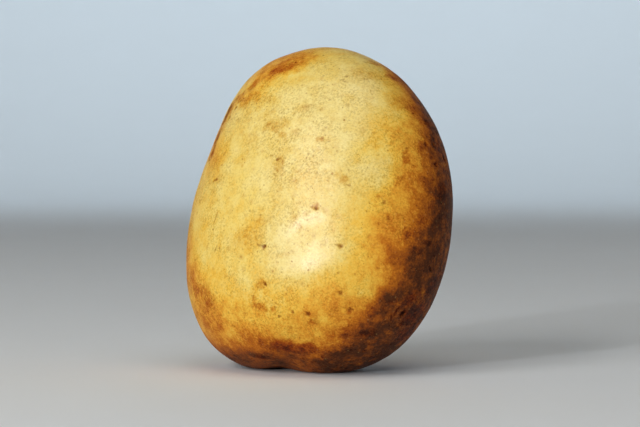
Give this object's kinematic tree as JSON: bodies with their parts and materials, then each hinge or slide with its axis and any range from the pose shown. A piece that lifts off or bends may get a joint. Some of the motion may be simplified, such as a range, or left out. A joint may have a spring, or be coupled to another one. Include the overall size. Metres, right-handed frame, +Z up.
{
  "type": "potato",
  "caption": "Whole smooth-skinned potato, standing upright on a small flat spot at its blunt end.",
  "frame": {"origin": "on the floor, under the middle of the potato's bounding box", "axes": "+Z up, from the blunt end it stands on to the crown; -Y the way the broad face looks; +X on that face's right"},
  "size_m": [0.0786, 0.0714, 0.095],
  "materials": {
    "skin": "satin"
  },
  "bodies": {
    "root": {"potato": "skin"}
  },
  "joints": []
}
